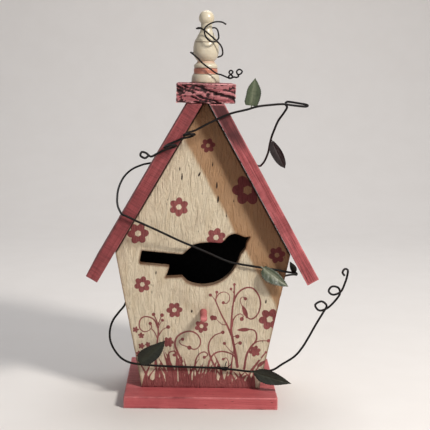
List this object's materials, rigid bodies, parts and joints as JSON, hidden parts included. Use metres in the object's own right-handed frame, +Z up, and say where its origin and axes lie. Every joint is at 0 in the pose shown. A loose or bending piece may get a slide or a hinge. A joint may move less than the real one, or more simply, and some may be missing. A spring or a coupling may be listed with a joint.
{
  "type": "birdhouse",
  "caption": "Gabled wooden birdhouse with a bird-shaped opening, dowel perch, ridge cap with turned finial, hinged clean-out door and wrapped wire with leaves.",
  "frame": {"origin": "centre of the underside of the base board", "axes": "+Z up, the front panel with the bird opening faces -Y, +X to the right seen from the front"},
  "size_m": [0.24, 0.133, 0.3599],
  "materials": {
    "base_paint": "satin pink paint on smooth wood",
    "cream_paint": "matte cream paint over rough grain, raspberry printed flowers and scrolls on the front, dark inside",
    "roof_paint": "satin dusky pink paint",
    "cap_paint": "rough-sawn wood under pink paint",
    "finial_wood": "turned pale wood with worn salmon bands",
    "hinge_brass": "satin",
    "fastener_steel": "dull zinc",
    "dark_wire": "blackened wire with brown wear",
    "light_leaf": "glossy pale green leaf",
    "plum_leaf": "dark plum leaf",
    "green_leaf": "green leaf with a pale worn centre",
    "dark_leaf": "dark green leaf"
  },
  "bodies": {
    "house": {"base_board": "base_paint", "front_panel": "cream_paint", "back_panel": "cream_paint", "left_wall": "cream_paint", "right_wall": "cream_paint", "left_roof_board": "roof_paint", "right_roof_board": "roof_paint", "ridge_cap": "cap_paint", "finial": "finial_wood", "perch": "roof_paint", "frame_hinge_leaves": "hinge_brass", "hinge_pins": "hinge_brass", "frame_hinge_screws": "hinge_brass", "button_washer": "fastener_steel", "button_screw": "fastener_steel", "front_brads": "fastener_steel", "back_brads": "fastener_steel", "roof_brads": "fastener_steel", "cap_brads": "fastener_steel", "base_screws": "fastener_steel", "vine_wire": "dark_wire", "finial_wire": "dark_wire", "wire_staples": "fastener_steel", "tie_knot": "dark_wire", "top_leaf": "light_leaf", "upper_right_leaf": "plum_leaf", "middle_leaf": "green_leaf", "eave_leaf": "dark_leaf", "lower_left_leaf": "dark_leaf", "lower_right_leaf": "dark_leaf"},
    "door": {"clean_out_door": "cream_paint", "door_knob": "base_paint", "door_hinge_leaves": "hinge_brass", "door_hinge_screws": "hinge_brass"},
    "button": {"turn_button": "base_paint"}
  },
  "joints": [
    {"name": "door_hinge", "type": "hinge", "parent": "house", "child": "door", "pos_m": [0.0234, 0.0491, 0.0488], "axis": [0, 0, -1], "range_deg": [0, 110]},
    {"name": "button_pivot", "type": "hinge", "parent": "house", "child": "button", "pos_m": [-0.0318, 0.0475, 0.0628], "axis": [0, 1, 0], "range_deg": [0, 90]}
  ]
}
